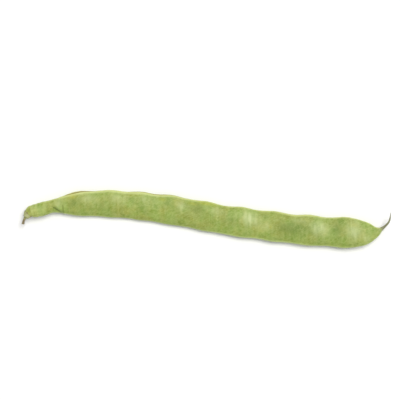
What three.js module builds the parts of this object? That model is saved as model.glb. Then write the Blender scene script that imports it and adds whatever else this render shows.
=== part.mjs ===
// A flat green bean, as picked: the pod with its dried beak, the calyx that clasps its neck, and the
// snapped stem that it hung from. It lies on one cheek.
//
// Millimetres, +Z up. +X runs along the pod from the stem to the beak, and +Y points towards the
// suture that carries the seeds. The origin is on the surface that the pod rests on, under the
// middle of the bean's bounding box.
import * as THREE from "three";
import { LoftGeometry } from "three/addons/geometries/LoftGeometry.js";

// ---- driving dimensions -------------------------------------------------------------------------

// The spine of the pod and the size of its section, from the end of the neck to the tip of the beak:
// place along X, place across Y, bow above the lying plane, half width, half thickness, and the roll
// of the section about the spine in degrees.
const SPINE = [
  [-120.9, 2.1, 3.6, 1.5, 1.4, 0],
  [-120.0, 3.3, 3.4, 2.6, 1.9, 1],
  [-118.2, 4.8, 3.1, 3.8, 2.5, 2],
  [-115.0, 5.8, 2.7, 4.4, 2.7, 3],
  [-110.0, 6.9, 2.1, 4.6, 2.8, 4],
  [-104.0, 8.6, 1.5, 4.4, 2.9, 5],
  [-96.0, 9.6, 0.8, 6.1, 3.0, 6],
  [-89.0, 10.2, 0.4, 7.5, 3.1, 6],
  [-80.0, 10.4, 0.0, 8.1, 3.1, 5],
  [-60.0, 9.9, 0.0, 8.6, 3.1, 4],
  [-38.0, 7.9, 0.0, 9.0, 3.1, 3],
  [-14.0, 4.2, 0.0, 9.3, 3.1, 2],
  [12.0, -0.6, 0.0, 9.4, 3.1, 0],
  [38.0, -4.2, 0.0, 9.6, 3.1, -2],
  [62.0, -7.1, 0.0, 9.6, 3.1, -3],
  [84.0, -8.6, 0.2, 9.6, 3.1, -4],
  [96.5, -9.2, 0.8, 9.7, 3.0, -5],
  [103.0, -9.3, 1.2, 8.6, 2.8, -5],
  [108.3, -8.9, 1.6, 6.6, 2.4, -4],
  [112.6, -8.2, 2.0, 3.7, 1.9, -3],
  [115.4, -6.9, 2.4, 1.7, 1.3, -2],
  [118.3, -4.6, 3.0, 0.8, 0.8, 0],
  [120.9, -1.6, 3.5, 0.6, 0.6, 0],
  [121.8, 1.6, 3.9, 0.45, 0.45, 0],
  [121.9, 4.6, 4.2, 0.25, 0.25, 0],
];

// Where the middle of each seed lies along X, and how far it lifts the cheeks over it.
const SEEDS = [
  { at: -80.0, height: 0.75 },
  { at: -60.0, height: 0.95 },
  { at: -38.5, height: 0.85 },
  { at: -19.0, height: 0.95 },
  { at: 4.0, height: 0.9 },
  { at: 28.0, height: 1.0 },
  { at: 50.0, height: 0.9 },
  { at: 74.0, height: 1.0 },
  { at: 97.5, height: 0.85 },
];
const SEED_REACH = 7.2; // along the pod, to where a seed's swelling has fallen to a third
const SEED_BAND = 0.6; // the share of the half width that a seed's swelling covers
const SEED_LEAN = 6.0; // how far towards the stem a seed swells the sutures, from its middle
const SEED_SUTURE_PUSH = 1.1; // how far a seed pushes out the suture that it hangs from
const BACK_SUTURE_PUSH = 0.6; // and the suture across from it, both as shares of its height

const SECTION_POWER = 2.3; // 2 is an ellipse; more is squarer across the width
const RINGS = 104; // sections along the pod
const RING_CROWDING = 0.055; // how much closer the sections stand near the two ends
const POD_POINTS = 28; // points around each section of the pod
const PRESSED = 0.3; // how much of the lowest swellings is pressed flat by lying

const GAP = 0.3; // between neighbouring solids
const CALYX_WALL = 0.4;
const CALYX_DEPTH = 1.5; // how far the cup reaches up the neck between its teeth
const CALYX_TOOTH = 0.9; // how much further each of its teeth reaches
const CALYX_TEETH = 5; // one for each sepal
const CALYX_BASE = 1.0; // how far its rounded base stands out past its floor
const CALYX_BOSS = 0.15; // how far the middle of its floor stands up towards the neck
const CALYX_POINTS = 30; // points around the cup

const STEM_RADIUS = 0.8;
const STEM_KNOB = 0.25; // how much wider the stem is where it joins the calyx and where it snapped
const STEM_OUT = 1.6; // how far it first heads out, along the line of the neck
const STEM_DROP = 3.0; // how far it then reaches along its bend
const STEM_BEND = [-0.15, -1, -0.15]; // the way that it bends
const STEM_RINGS = 13;
const STEM_POINTS = 14;

// ---- the spine ----------------------------------------------------------------------------------

const TANGENT_STEP = 0.05; // the spine's direction is taken between points this far to each side

const place = (row) => new THREE.Vector3(row[0], row[1], row[2]);

// The distance along the spine at each row, which is what the section is looked up by.
const distances = [0];
for (let i = 1; i < SPINE.length; i++) {
  distances.push(distances[i - 1] + place(SPINE[i]).distanceTo(place(SPINE[i - 1])));
}
const spineLength = distances.at(-1);
const track = new THREE.CubicInterpolant(distances, SPINE.flat(), SPINE[0].length);

// The section at a distance along the spine: its centre, its directions and its half sizes.
function sectionAt(distance) {
  const before = place([...track.evaluate(Math.max(distance - TANGENT_STEP, 0))]);
  const after = place([...track.evaluate(Math.min(distance + TANGENT_STEP, spineLength))]);
  const row = [...track.evaluate(distance)];
  const forward = after.sub(before).normalize();
  const side = new THREE.Vector3(0, 0, 1).cross(forward).normalize();
  const up = forward.clone().cross(side);
  const roll = THREE.MathUtils.degToRad(row[5]);
  side.applyAxisAngle(forward, roll);
  up.applyAxisAngle(forward, roll);
  return { centre: place(row), forward, side, up, halfWidth: row[3], halfThick: row[4] };
}

// The sine or cosine of an angle, pushed towards a square.
function squared(value) {
  return Math.sign(value) * Math.abs(value) ** (2 / SECTION_POWER);
}

// A point at an angle around a section, which is made wider and thicker by what is given.
function pointAround(section, angle, wider, thicker) {
  return section.centre
    .clone()
    .addScaledVector(section.side, (section.halfWidth + wider) * squared(Math.cos(angle)))
    .addScaledVector(section.up, (section.halfThick + thicker) * squared(Math.sin(angle)));
}

// A closed ring of points, each worked out from its angle.
function ringOf(count, pointAt) {
  return Array.from({ length: count }, (_, i) => pointAt((i / count) * Math.PI * 2));
}

// ---- the pod ------------------------------------------------------------------------------------

// How far the seeds swell the pod at a place along X.
function swelling(x) {
  return SEEDS.reduce((sum, s) => sum + s.height * Math.exp(-(((x - s.at) / SEED_REACH) ** 2)), 0);
}

// One section of the pod: the middle of each cheek is lifted by the seed that lies under it, and
// each suture is pushed out a little nearer the stem than that seed.
function podRing(distance) {
  const section = sectionAt(distance);
  const cheekSwelling = swelling(section.centre.x);
  const sutureSwelling = swelling(section.centre.x + SEED_LEAN);
  return ringOf(POD_POINTS, (angle) => {
    const across = squared(Math.cos(angle));
    const wider = sutureSwelling * (across > 0 ? SEED_SUTURE_PUSH : BACK_SUTURE_PUSH);
    const thicker = cheekSwelling * Math.exp(-((across / SEED_BAND) ** 2));
    return pointAround(section, angle, wider, thicker);
  });
}

// The sections stand closer together in the neck and the beak, where the outline turns quickly.
function ringDistance(index) {
  const share = index / (RINGS - 1);
  return spineLength * (share - RING_CROWDING * Math.sin(share * Math.PI * 2));
}

const podRings = Array.from({ length: RINGS }, (_, i) => podRing(ringDistance(i)));

// The spine is raised until the lowest swellings sink by PRESSED, and what would be under the
// surface is flattened on to it, as a soft cheek is where it bears the weight.
const rise = -Math.min(...podRings.flat().map((point) => point.z)) - PRESSED;
for (const point of podRings.flat()) {
  point.z = Math.max(point.z + rise, 0);
}

const podSkin = new THREE.MeshStandardMaterial({ color: 0x9dab5c, roughness: 0.5, metalness: 0 });
const pod = new THREE.Mesh(new LoftGeometry(podRings, { capStart: true, capEnd: true }), podSkin);
pod.name = "pod";

// ---- the calyx ----------------------------------------------------------------------------------

const outside = GAP + CALYX_WALL; // from the neck to the outside of the cup
const neckEnd = sectionAt(0);
const stemward = neckEnd.forward.clone().negate();

// How deep the cup reaches at an angle around it.
function cupDepth(angle) {
  return CALYX_DEPTH + CALYX_TOOTH * Math.max(0, Math.cos(CALYX_TEETH * angle));
}

// A ring of the cup's wall, at a share of its depth, outside or inside. It follows the neck.
function wallRing(share, clearance) {
  return ringOf(CALYX_POINTS, (angle) =>
    pointAround(sectionAt(share * cupDepth(angle)), angle, clearance, clearance),
  );
}

// A ring of the cup's base or floor: how far past the end of the neck it lies, and how much smaller
// than the neck's own section it is.
function baseRing(beyond, shrink, clearance) {
  const centre = neckEnd.centre.clone().addScaledVector(stemward, beyond);
  return ringOf(CALYX_POINTS, (angle) =>
    pointAround(neckEnd, angle, clearance, clearance)
      .sub(neckEnd.centre)
      .multiplyScalar(shrink)
      .add(centre),
  );
}

// A ring of the rounded outside of the base, at a turn towards its pole.
function domeRing(degrees) {
  const turn = THREE.MathUtils.degToRad(degrees);
  return baseRing(GAP + CALYX_BASE * Math.sin(turn), Math.cos(turn), outside);
}

// From the pole of the base up the outside of the wall, over the rim, down the inside, and in across
// the floor to the boss in its middle.
const calyxRings = [
  ...[75, 50, 25].map(domeRing),
  ...[0, 0.35, 0.7, 1].map((share) => wallRing(share, outside)),
  ...[1, 0.7, 0.35, 0].map((share) => wallRing(share, GAP)),
  baseRing(GAP + CALYX_BOSS, 1, GAP),
  baseRing(GAP, 0.4, GAP),
];

const calyxSkin = new THREE.MeshStandardMaterial({ color: 0xa8a765, roughness: 0.65, metalness: 0 });
const calyx = new THREE.Mesh(new LoftGeometry(calyxRings, { capStart: true, capEnd: true }), calyxSkin);
calyx.name = "calyx";
calyx.position.z = rise;

// ---- the stem -----------------------------------------------------------------------------------

// It leaves the base of the calyx along the neck's line and bends away from the seed suture.
const bend = new THREE.Vector3(...STEM_BEND).normalize();
const stemRoot = neckEnd.centre.clone().addScaledVector(stemward, GAP + CALYX_BASE + GAP);
const stemTurn = stemRoot.clone().addScaledVector(stemward, STEM_OUT);
const stemTip = stemTurn.clone().addScaledVector(bend, STEM_DROP);
const stemPath = new THREE.QuadraticBezierCurve3(stemRoot, stemTurn, stemTip);

// A ring around the stem at a share of its length. Both of its ends are knobbed.
function stemRing(share) {
  const centre = stemPath.getPointAt(share);
  const forward = stemPath.getTangentAt(share);
  const side = new THREE.Vector3(0, 0, 1).cross(forward).normalize();
  const up = forward.clone().cross(side);
  const radius = STEM_RADIUS + STEM_KNOB * (2 * share - 1) ** 4;
  return ringOf(STEM_POINTS, (angle) =>
    centre
      .clone()
      .addScaledVector(side, radius * Math.cos(angle))
      .addScaledVector(up, radius * Math.sin(angle)),
  );
}

const stemRings = Array.from({ length: STEM_RINGS }, (_, i) => stemRing(i / (STEM_RINGS - 1)));
const stemSkin = new THREE.MeshStandardMaterial({ color: 0x7d6a4a, roughness: 0.8, metalness: 0 });
const stem = new THREE.Mesh(new LoftGeometry(stemRings, { capStart: true, capEnd: true }), stemSkin);
stem.name = "stem";
stem.position.z = rise;

// ---- the whole bean, moved so that the middle of its bounding box is over the origin ----------------

const bean = new THREE.Group();
bean.add(pod, calyx, stem);
const middle = new THREE.Box3().setFromObject(bean, true).getCenter(new THREE.Vector3());
bean.position.set(-middle.x, -middle.y, 0);

export default bean;
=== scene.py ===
# %% [markdown]
# # A flat green bean, lying on one cheek
#
# A picked flat bean is three things grown together: a long pod that ends in a dried, hooked beak, a small
# cup called the calyx that clasps the pod's neck, and the stub of the stem that it hung from. The packed
# CAD model holds all three as plain faceted solids. They stay as they are, for weight and collision.
#
# This lesson gives each one a finer surface, worked out from the same driving sizes, and then a skin made
# of shader nodes. Everything is in metres once it is a mesh, but a bean is easier to think about in
# millimetres, so the sizes below are in millimetres and one function turns them into metres.

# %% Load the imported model
import math

import bpy
import numpy as np
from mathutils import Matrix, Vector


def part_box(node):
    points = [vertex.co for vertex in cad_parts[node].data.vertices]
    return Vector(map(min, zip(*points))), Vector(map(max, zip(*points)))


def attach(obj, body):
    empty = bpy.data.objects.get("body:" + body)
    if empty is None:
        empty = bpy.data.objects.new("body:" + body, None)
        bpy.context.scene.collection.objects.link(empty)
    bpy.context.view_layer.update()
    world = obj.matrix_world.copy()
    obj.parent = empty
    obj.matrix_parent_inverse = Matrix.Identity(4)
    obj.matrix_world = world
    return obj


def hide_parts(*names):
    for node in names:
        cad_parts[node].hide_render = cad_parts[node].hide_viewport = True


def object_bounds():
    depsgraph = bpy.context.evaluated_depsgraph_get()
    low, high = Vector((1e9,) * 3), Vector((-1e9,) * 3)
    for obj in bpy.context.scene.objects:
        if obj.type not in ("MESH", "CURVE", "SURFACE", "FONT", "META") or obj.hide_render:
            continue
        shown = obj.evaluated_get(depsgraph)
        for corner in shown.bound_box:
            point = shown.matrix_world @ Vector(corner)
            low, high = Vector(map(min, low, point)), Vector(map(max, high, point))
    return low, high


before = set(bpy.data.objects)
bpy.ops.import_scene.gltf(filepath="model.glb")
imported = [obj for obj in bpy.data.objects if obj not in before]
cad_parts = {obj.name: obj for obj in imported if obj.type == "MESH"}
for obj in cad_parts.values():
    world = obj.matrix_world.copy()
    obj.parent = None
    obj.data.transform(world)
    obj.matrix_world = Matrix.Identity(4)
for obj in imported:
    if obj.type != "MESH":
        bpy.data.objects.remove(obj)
cad_low, cad_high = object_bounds()
MM = 0.001
print("CAD box in mm:", [round(v / MM, 2) for v in cad_high - cad_low])

# %% [markdown]
# ## The line that everything follows
#
# A bean pod is a flat tube that follows a gently bent line, its spine. Each row of this table says where the
# spine is at one place and how big the pod is there. It could be drawn as a Blender curve with a bevel, but
# a bevel keeps one section all along, and a pod is round at the neck, flat in the middle and a
# thread at the beak. A table of rows with a smooth curve through them keeps all of that in a few numbers.

# %% The spine's rows, from the end of the neck to the tip of the beak, in millimetres
SPINE = np.array(
    [
        # along X, across Y, bow in Z, half width, half thickness, roll in degrees
        [-120.9, 2.1, 3.6, 1.5, 1.4, 0],
        [-120.0, 3.3, 3.4, 2.6, 1.9, 1],
        [-118.2, 4.8, 3.1, 3.8, 2.5, 2],
        [-115.0, 5.8, 2.7, 4.4, 2.7, 3],
        [-110.0, 6.9, 2.1, 4.6, 2.8, 4],
        [-104.0, 8.6, 1.5, 4.4, 2.9, 5],
        [-96.0, 9.6, 0.8, 6.1, 3.0, 6],
        [-89.0, 10.2, 0.4, 7.5, 3.1, 6],
        [-80.0, 10.4, 0.0, 8.1, 3.1, 5],
        [-60.0, 9.9, 0.0, 8.6, 3.1, 4],
        [-38.0, 7.9, 0.0, 9.0, 3.1, 3],
        [-14.0, 4.2, 0.0, 9.3, 3.1, 2],
        [12.0, -0.6, 0.0, 9.4, 3.1, 0],
        [38.0, -4.2, 0.0, 9.6, 3.1, -2],
        [62.0, -7.1, 0.0, 9.6, 3.1, -3],
        [84.0, -8.6, 0.2, 9.6, 3.1, -4],
        [96.5, -9.2, 0.8, 9.7, 3.0, -5],
        [103.0, -9.3, 1.2, 8.6, 2.8, -5],
        [108.3, -8.9, 1.6, 6.6, 2.4, -4],
        [112.6, -8.2, 2.0, 3.7, 1.9, -3],
        [115.4, -6.9, 2.4, 1.7, 1.3, -2],
        [118.3, -4.6, 3.0, 0.8, 0.8, 0],
        [120.9, -1.6, 3.5, 0.6, 0.6, 0],
        [121.8, 1.6, 3.9, 0.45, 0.45, 0],
        [121.9, 4.6, 4.2, 0.25, 0.25, 0],
    ]
)


def smooth_through(knots, values, at):
    """A smooth curve through rows of values. Between two knots it is the cubic that meets both rows, and
    whose slope at each knot is the mean of the two straight slopes on either side of it."""
    straight = np.diff(values, axis=0) / np.diff(knots)[:, None]
    slopes = np.vstack([straight[:1], (straight[:-1] + straight[1:]) / 2, straight[-1:]])
    left = np.clip(np.searchsorted(knots, at, side="right") - 1, 0, len(knots) - 2)
    span = (knots[left + 1] - knots[left])[..., None]
    t = (at - knots[left])[..., None] / span
    start = (2 * t**3 - 3 * t**2 + 1) * values[left] + (t**3 - 2 * t**2 + t) * span * slopes[left]
    end = (3 * t**2 - 2 * t**3) * values[left + 1] + (t**3 - t**2) * span * slopes[left + 1]
    return start + end


steps = np.linalg.norm(np.diff(SPINE[:, :3], axis=0), axis=1)
row_distances = np.concatenate([[0], np.cumsum(steps)])
spine_length = row_distances[-1]
print(f"the spine is {spine_length:.1f} mm long")

# %% [markdown]
# ## Sections across the spine
#
# At any distance along the spine a section needs a centre and two directions: one across the pod, towards
# the suture that the seeds hang from, and one up through its cheeks. Both come from the spine's own
# direction, and the roll turns them a few degrees, because a pod always has a little twist in it.

# %% A section's centre, directions and half sizes
UPRIGHT = np.array([0.0, 0.0, 1.0])
TANGENT_STEP = 0.05  # the spine's direction is taken between points this far to each side


def unit(vectors):
    """The same directions with a length of one."""
    return vectors / np.linalg.norm(vectors, axis=-1, keepdims=True)


def sections(distance):
    """The sections at an array of distances: the direction forward is the chord over a short step, the side
    is level and square to it, and both side and up are turned about it by the roll."""
    row = smooth_through(row_distances, SPINE, distance)
    behind = smooth_through(row_distances, SPINE, np.maximum(distance - TANGENT_STEP, 0))
    ahead = smooth_through(row_distances, SPINE, np.minimum(distance + TANGENT_STEP, spine_length))
    forward = unit(ahead[..., :3] - behind[..., :3])
    level = unit(np.cross(UPRIGHT, forward))
    above = np.cross(forward, level)
    roll = np.radians(row[..., 5:6])
    return {
        "centre": row[..., :3],
        "forward": forward,
        "side": level * np.cos(roll) + above * np.sin(roll),
        "up": above * np.cos(roll) - level * np.sin(roll),
        "half_width": row[..., 3],
        "half_thick": row[..., 4],
    }


SECTION_POWER = 2.3  # 2 is an ellipse, and more is squarer


def squared(value):
    """A sine or cosine pushed towards a square: its size to the power of two over the section's power."""
    return np.sign(value) * np.abs(value) ** (2 / SECTION_POWER)


def around(section, angle, wider, thicker):
    """Points at angles around sections: the centre, plus the side times the half width times the squared
    cosine, plus up times the half thickness times the squared sine."""
    across = (section["half_width"] + wider) * squared(np.cos(angle))
    through = (section["half_thick"] + thicker) * squared(np.sin(angle))
    return section["centre"] + section["side"] * across[..., None] + section["up"] * through[..., None]


halfway = sections(np.array([spine_length / 2]))
print(f"halfway along, the plain section is {2 * halfway['half_width'][0]:.1f} mm wide")

# %% [markdown]
# ## The seeds under the skin
#
# The seeds can't be seen, but each one lifts the cheeks over it and pushes the sutures out. They could be
# sculpted by hand. A formula puts the same swelling over each seed instead: a bell curve along the pod,
# added up for all the seeds. A seed hangs from its suture by a short stalk that slants back towards the
# stem, so the edge swells a little before the cheek does.

# %% Where the seeds lie, and how they swell the pod
SEED_PLACES = np.array([-80.0, -60.0, -38.5, -19.0, 4.0, 28.0, 50.0, 74.0, 97.5])  # along X
SEED_HEIGHTS = np.array([0.75, 0.95, 0.85, 0.95, 0.9, 1.0, 0.9, 1.0, 0.85])  # how far each lifts a cheek
SEED_REACH = 7.2  # along the pod, to where a seed's swelling has fallen to a third
SEED_BAND = 0.6  # the share of the half width that a seed's swelling covers
SEED_LEAN = 6.0  # how far towards the stem a seed swells the sutures, from its middle
SEED_SUTURE_PUSH = 1.1  # how far a seed pushes out the suture that it hangs from
BACK_SUTURE_PUSH = 0.6  # and the suture across from it, both as shares of its height


def swelling(x):
    """The sum over the seeds of a seed's height times a bell curve of the distance from it."""
    over_each = np.exp(-(((x[..., None] - SEED_PLACES) / SEED_REACH) ** 2))
    return over_each @ SEED_HEIGHTS


def plain_pod(distance, angle):
    """The pod with its seeds and no finer relief: sections made thicker over each seed in the middle of the
    cheek, and wider where a seed pushes a suture out."""
    section = sections(distance)
    x = section["centre"][..., 0]
    across = squared(np.cos(angle))
    push = np.where(across > 0, SEED_SUTURE_PUSH, BACK_SUTURE_PUSH)
    wider = swelling(x + SEED_LEAN) * push
    thicker = swelling(x) * np.exp(-((across / SEED_BAND) ** 2))
    return around(section, angle, wider, thicker)


print(f"{len(SEED_PLACES)} seeds, {np.diff(SEED_PLACES).mean():.0f} mm apart on average")

# %% [markdown]
# ## A grid to hang the surface on
#
# The finished pod is a grid of points: rows along the spine and columns around it. The columns are even in
# angle, which bunches them at the two sutures, just where the finest ridges are. The rows are bunched at the
# two ends by taking a sine off an even spacing. A subdivision modifier could make the points
# instead, but then the ridges would have to be modelled on a coarse cage by hand.

# %% Lay out the pod's grid
POD_ROWS = 740
POD_COLUMNS = 128
END_BUNCHING = 0.4  # 0 spaces the rows evenly, and more brings those at the ends closer
STEM_END_ROUNDING = 0.5  # how far from its end in the calyx the pod starts to round off
BEAK_END_ROUNDING = 0.2  # and how far from the tip of its beak

share = np.linspace(0, 1, POD_ROWS + 2)[1:-1]
share = share - END_BUNCHING * np.sin(2 * np.pi * share) / (2 * np.pi)
along = share * spine_length
turn = np.linspace(-np.pi, np.pi, POD_COLUMNS, endpoint=False)
distance, angle = np.meshgrid(along, turn, indexing="ij")


def rounded_end(from_end, rounding):
    """A quarter circle: the share of its width that a rounded end still has at a distance from its tip."""
    inside = np.clip(1 - from_end / rounding, 0, 1)
    return np.sqrt(1 - inside**2)


ends = rounded_end(distance, STEM_END_ROUNDING) * rounded_end(spine_length - distance, BEAK_END_ROUNDING)
spine_points = sections(distance)["centre"]
pod_points = spine_points + (plain_pod(distance, angle) - spine_points) * ends[..., None]
row_gaps = np.diff(along)
print(f"{POD_ROWS} rows of {POD_COLUMNS} points, {row_gaps.min():.2f} to {row_gaps.max():.2f} mm apart")

# %% [markdown]
# ## Relief in the direction of the surface
#
# Ridges, grooves and wrinkles are heights, so they are easiest to write as a number at each point and then
# add along the surface's own normal. The normal of a grid is the cross product of its two directions.
# The distance from the nearest suture, measured over the skin, says where each ridge goes.

# %% Normals and girth of a grid
def grid_normals(points):
    """Outward directions of a ring grid: the step around it crossed with the step along it."""
    step_around = np.roll(points, -1, axis=1) - np.roll(points, 1, axis=1)
    step_along = np.gradient(points, axis=0)
    return unit(np.cross(step_around, step_along))


def girth_of(points):
    """The distance over the skin from the middle column to each column, negative on its first side. It has
    one column more than the grid, because the last point of a ring is also its first."""
    closed = np.concatenate([points, points[:, :1]], axis=1)
    lengths = np.linalg.norm(np.diff(closed, axis=1), axis=2)
    travelled = np.concatenate([np.zeros((len(points), 1)), np.cumsum(lengths, axis=1)], axis=1)
    middle = points.shape[1] // 2
    return travelled - travelled[:, middle : middle + 1]


pod_girth = girth_of(pod_points)
half_girth = (pod_girth[:, -1:] - pod_girth[:, :1]) / 2
print(f"the pod measures up to {2 * half_girth.max():.1f} mm around")

# %% Helpers that shape a relief
def bell(value, middle, reach):
    """A bell curve: one at the middle, a third at one reach from it, and nothing far away."""
    return np.exp(-(((value - middle) / reach) ** 2))


def bells(value, rows):
    """The sum of bell curves. Each row is a height, the middle of its bell and its reach."""
    return sum(height * bell(value, middle, reach) for height, middle, reach in rows)


def rise(value, low, high):
    """A smooth step from 0 at the low value to 1 at the high one."""
    t = np.clip((value - low) / (high - low), 0, 1)
    return t * t * (3 - 2 * t)


def fall(value, low, high):
    """A smooth step down, from 1 at the low value to 0 at the high one."""
    return 1 - rise(value, low, high)


def unevenness(points, wavelength, seed, waves=24):
    """Smooth bumps of about one size: the sum of plane waves that run in chance directions with chance
    phases, divided by the root of their number so that it stays near one."""
    chance = np.random.default_rng(seed)
    headings = unit(chance.normal(size=(waves, 3)))
    lengths = wavelength * chance.uniform(0.7, 1.5, (waves, 1))
    phases = chance.uniform(0, 2 * np.pi, waves)
    return np.cos(points @ (headings / lengths).T * 2 * np.pi + phases).sum(-1) / math.sqrt(waves)

# %% [markdown]
# ## Sutures, wrinkles and creases
#
# The two halves of a pod meet at two sutures. The one that the seeds hang from is a pair of thin ribs with a
# groove between them, and the one at the back is a single low ridge. Both stand a little proud, with a
# shallow trough inside them. The neck is wrinkled along and across, and creased where it widens into the
# body, and the dried beak is shrivelled. All of this is real relief and not a bump map, so the outline has
# it too. Ridges and grooves are tables of bell curves, because a bell has a height, a place and a width
# that can each be changed on its own.

# %% Find the two sutures, which wander a little up and down the pod's edges
SEED_SUTURE_RISES = [(1.7, -88.5, 9.0), (0.9, -34.0, 16.0), (0.6, 66.0, 18.0)]
BACK_SUTURE_RISE = 0.5
BACK_SUTURE_SWAY = 0.35  # how far it sways to each side of that
BACK_SUTURE_SWAY_LENGTH = 23.0  # along the pod, for one radian of the sway

pod_x = pod_points[..., 0]
up_from_seed_suture = pod_girth[:, :-1]
up_from_back_suture = np.where(up_from_seed_suture > 0, half_girth, -half_girth) - up_from_seed_suture
seed_suture_wander = bells(pod_x, SEED_SUTURE_RISES)
back_suture_wander = BACK_SUTURE_RISE + BACK_SUTURE_SWAY * np.sin(pod_x / BACK_SUTURE_SWAY_LENGTH)
to_seed_suture = np.abs(up_from_seed_suture - seed_suture_wander)
to_back_suture = np.abs(up_from_back_suture - back_suture_wander)
print(f"the seed suture rises up to {seed_suture_wander.max():.1f} mm from the edge")

# %% Work out the sutures' relief and the lumps, in millimetres
NECK_END = 24.0  # along the spine, to where the neck is widening into the body
BEAK_START = 238.5  # along the spine, to where the living pod gives way to the dried beak
BODY_RELIEF_START = 4.0  # along the spine, to where the body's relief starts to rise
BODY_RELIEF_FADE = (14.0, 2.0)  # before the beak, where it starts to sink and where it has gone

# Each row is a height, how far from the suture its ridge or groove runs, and its reach.
SEED_SUTURE_RIDGES = [(-0.26, 0.0, 0.24), (0.15, 0.75, 0.42), (-0.22, 2.6, 1.0)]
BACK_SUTURE_RIDGES = [(0.12, 0.0, 0.6), (-0.16, 2.0, 0.9)]
LUMP_HEIGHT = 0.08
SMALL_LUMP_HEIGHT = 0.04

fade_start, fade_end = (BEAK_START - before for before in BODY_RELIEF_FADE)
in_body = rise(distance, BODY_RELIEF_START, NECK_END) * fall(distance, fade_start, fade_end)
sutures = bells(to_seed_suture, SEED_SUTURE_RIDGES) + bells(to_back_suture, BACK_SUTURE_RIDGES)
lumps = LUMP_HEIGHT * unevenness(pod_points, wavelength=14.0, seed=4)
lumps = lumps + SMALL_LUMP_HEIGHT * unevenness(pod_points, wavelength=5.0, seed=5)
print(f"suture relief {sutures.min():.2f} to {sutures.max():.2f} mm, lumps within {abs(lumps).max():.2f} mm")

# %% Seeds that stand a little sharper, and shallow slanting ridges between them
SEED_CENTRE = 1.6  # how far a seed lies from the middle of the cheek, towards its suture
SEED_HALF_LENGTH = 4.6
SEED_HALF_WIDTH = 4.2
SEED_LIFT = 0.30  # how far a seed with a height of 1 lifts the skin further
SEED_CLEARING = 1.2  # how strongly a seed smooths the ridges away, 1 being all of them at its middle
RIDGE_HEIGHT = 0.025
RIDGE_SPACING = 4.2
RIDGE_SLANT = 0.8  # how far along the pod a ridge runs for each millimetre up the cheek

toward_suture = pod_points[..., 1] - spine_points[..., 1]


def over_seeds(strengths):
    """For each seed, a bell along the pod times a bell across it, times its strength, and all added up."""
    along_bells = np.exp(-(((pod_x[..., None] - SEED_PLACES) / SEED_HALF_LENGTH) ** 2)) @ strengths
    return along_bells * bell(toward_suture, SEED_CENTRE, SEED_HALF_WIDTH)


between_seeds = 1 - np.clip(over_seeds(np.ones(len(SEED_PLACES))) * SEED_CLEARING, 0, 1)
slanted = 2 * np.pi * (distance + RIDGE_SLANT * np.abs(up_from_seed_suture)) / RIDGE_SPACING
ridges = RIDGE_HEIGHT * np.cos(slanted + unevenness(pod_points, wavelength=16.0, seed=9))
seed_relief = SEED_LIFT * over_seeds(SEED_HEIGHTS) + ridges * between_seeds
print(f"the seeds stand up to {seed_relief.max():.2f} mm prouder")

# %% Wrinkles on the neck and the beak
WRINKLES_FADE_FROM = 6.0  # along the spine, to where the neck's wrinkles start to fade
CALYX_EDGE = (2.0, 5.0)  # along the spine, from the calyx's rim to where the neck is well clear of it
CALM_IN_CALYX = 0.3  # the share of the wrinkles that is left in the calyx
BEAK_CHANGE = 4.0  # along the spine, the stretch over which the beak's wrinkles appear
BAND_HEIGHT = 0.09
BAND_SPACING = 3.7
BAND_WAVER = 1.6


def wrinkles(count, depth, twist, where):
    """Ridges along the spine: a cosine of the angle around it times their count, which drifts along the pod
    by the twist so that no ridge runs dead straight."""
    phase = twist * distance + unevenness(pod_points, wavelength=9.0, seed=8)
    return depth * np.cos(count * angle + phase) * where


out_of_calyx = CALM_IN_CALYX + (1 - CALM_IN_CALYX) * rise(distance, *CALYX_EDGE)
on_neck = fall(distance, WRINKLES_FADE_FROM, NECK_END) * out_of_calyx
on_beak = rise(distance, BEAK_START, BEAK_START + BEAK_CHANGE)
waver = BAND_WAVER * unevenness(pod_points, wavelength=8.0, seed=12)
shrivelled = (
    wrinkles(count=11, depth=0.10, twist=0.09, where=on_neck)
    + wrinkles(count=5, depth=0.07, twist=0.5, where=on_beak)
    + BAND_HEIGHT * np.cos(2 * np.pi * distance / BAND_SPACING + waver) * on_neck
)
print(f"the wrinkles run from {shrivelled.min():.2f} to {shrivelled.max():.2f} mm")

# %% Creases where the neck widens
# Each crease runs between two points of the upper cheek, given along X and across Y, with a reach to each
# side. A height below 0 makes it a groove.
CREASE_LINES = {
    "fold": ((-102.6, 7.6), (-96.4, 2.6), 0.75),
    "lip": ((-101.0, 9.0), (-96.0, 4.9), 0.9),
    "pinch": ((-96.7, 8.8), (-96.5, 4.6), 0.45),
    "bulge": ((-100.4, 12.0), (-99.4, 8.0), 2.2),
}
CREASE_HEIGHTS = {"fold": -0.7, "lip": 0.26, "pinch": -0.42, "bulge": 0.16}
UPPER_FROM = 0.35  # the sine of the angle around the pod, past which a point is fully on the upper cheek
INSET = 0.16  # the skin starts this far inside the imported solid, to leave room for its ridges


def crease(start, end, reach):
    """A bell curve of the level distance from a short straight line, on the upper cheek only."""
    start, end = np.array(start), np.array(end)
    run = end - start
    t = np.clip((pod_points[..., :2] - start) @ run / (run @ run), 0, 1)
    away = np.linalg.norm(pod_points[..., :2] - (start + t[..., None] * run), axis=-1)
    return bell(away, 0, reach) * rise(np.sin(angle), 0.0, UPPER_FROM)


creases = {name: crease(*line) for name, line in CREASE_LINES.items()}
folds = sum(height * creases[name] for name, height in CREASE_HEIGHTS.items())
relief = ((sutures + seed_relief - INSET) * in_body + lumps + shrivelled + folds) * ends
finished_pod = pod_points + grid_normals(pod_points) * relief[..., None]
print(f"the relief runs from {relief.min():.2f} to {relief.max():.2f} mm")

# %% [markdown]
# ## Put it where the CAD model is
#
# The table of rows is in its own place, so the finished pod is moved until it fills the CAD pod's box: level
# by the middle of the box, and in height so that its lowest cheek rests on the surface. As in the CAD
# model, what would be below the surface is pressed flat.

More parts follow.
